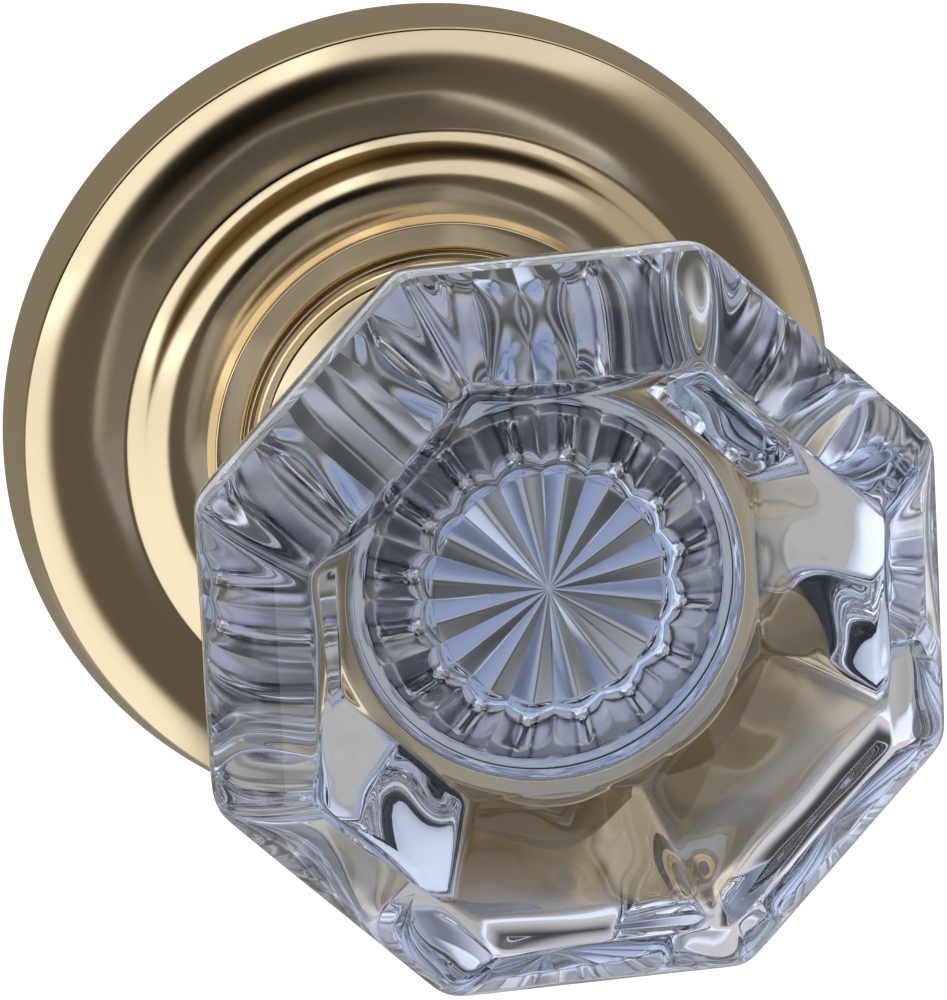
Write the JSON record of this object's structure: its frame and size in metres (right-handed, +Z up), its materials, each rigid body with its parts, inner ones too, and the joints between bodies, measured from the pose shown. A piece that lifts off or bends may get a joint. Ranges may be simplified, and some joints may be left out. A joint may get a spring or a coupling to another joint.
{
  "type": "door knob",
  "caption": "Octagonal clear glass door knob on a round stepped brass rose, with its spring-returned spindle and through screws.",
  "frame": {"origin": "where the spindle axis crosses the face of the door, at the centre of the back of the rose", "axes": "-Y out of the door along the knob, +Z up, +X to the right as seen by someone facing the knob"},
  "size_m": [0.0666, 0.1316, 0.0666],
  "materials": {
    "polished_brass": "polished, clear-lacquered pale brass",
    "nut_brass": "plain turned brass",
    "clear_glass": "clear pressed glass, fire-polished",
    "silver_foil": "bright silvered foil",
    "plated_steel": "zinc-plated pressed steel",
    "screw_steel": "zinc-plated",
    "rivet_steel": "zinc-plated",
    "spindle_steel": "drawn bar, plated",
    "sintered_steel": "sintered, oiled",
    "spring_steel": "oil-tempered",
    "washer_steel": "ground",
    "dark_steel": "black oxide",
    "nylon": "moulded, natural",
    "cushion_fibre": "pressed vulcanised fibre",
    "cement": "cured plaster cement"
  },
  "bodies": {
    "rose": {"rose_shell": "polished_brass", "rose_set_screw": "dark_steel", "rose_bushing": "nylon", "mounting_plate": "plated_steel", "through_screws": "screw_steel", "screw_washers": "screw_steel", "spring_housing": "plated_steel", "housing_rivets": "rivet_steel", "return_spring": "spring_steel"},
    "knob": {"spring_cam": "sintered_steel", "square_spindle": "spindle_steel", "knob_shank": "polished_brass", "neck_set_screw": "dark_steel", "thrust_washer": "washer_steel", "spring_washer": "spring_steel", "shank_clip": "spring_steel", "ferrule": "polished_brass", "ferrule_nut": "nut_brass", "cushion_washer": "cushion_fibre", "cement_ring": "cement", "glass_knob": "clear_glass", "star_foil": "silver_foil"}
  },
  "joints": [
    {"name": "knob_turn", "type": "hinge", "parent": "rose", "child": "knob", "pos_m": [0, 0, 0], "axis": [0, -1, 0], "range_deg": [-50, 50], "stiffness_Nm_per_rad": 0.12, "deforming": ["return_spring"]}
  ]
}
